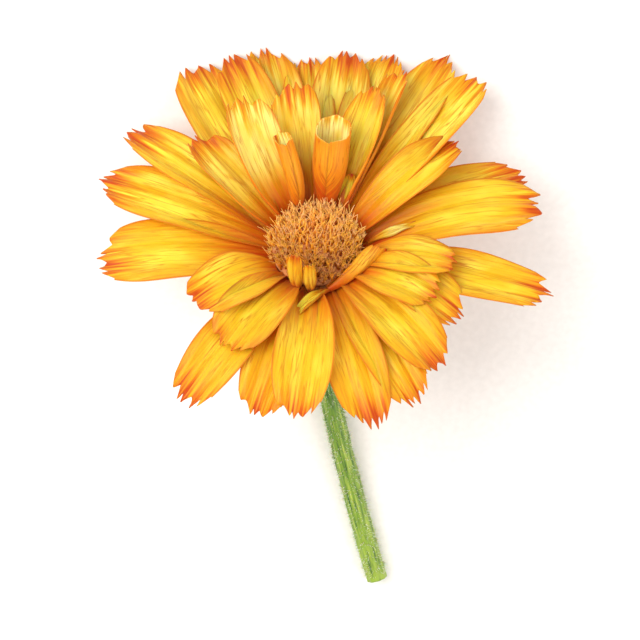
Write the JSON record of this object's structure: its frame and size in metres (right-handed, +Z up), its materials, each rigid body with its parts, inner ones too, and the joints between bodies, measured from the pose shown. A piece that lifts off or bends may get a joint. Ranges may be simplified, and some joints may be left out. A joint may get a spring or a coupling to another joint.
{
  "type": "marigold flower",
  "caption": "Picked double marigold bloom lying on a surface, with toothed golden petals in layers, a domed disc, a green cup of bracts and a cut stalk.",
  "frame": {"origin": "centre of the flower in plan, on the surface that it lies on", "axes": "+Y from the cut end of the stalk towards the bloom, +X to the right seen from above with the bloom at the top, +Z up"},
  "size_m": [0.0714, 0.09, 0.0431],
  "materials": {
    "petals": "satin",
    "disc": "matte",
    "bracts": "matte",
    "stalk": "satin"
  },
  "bodies": {
    "root": {"ray_florets": "petals", "disc_florets": "disc", "involucre": "bracts", "stem": "stalk"}
  },
  "joints": []
}
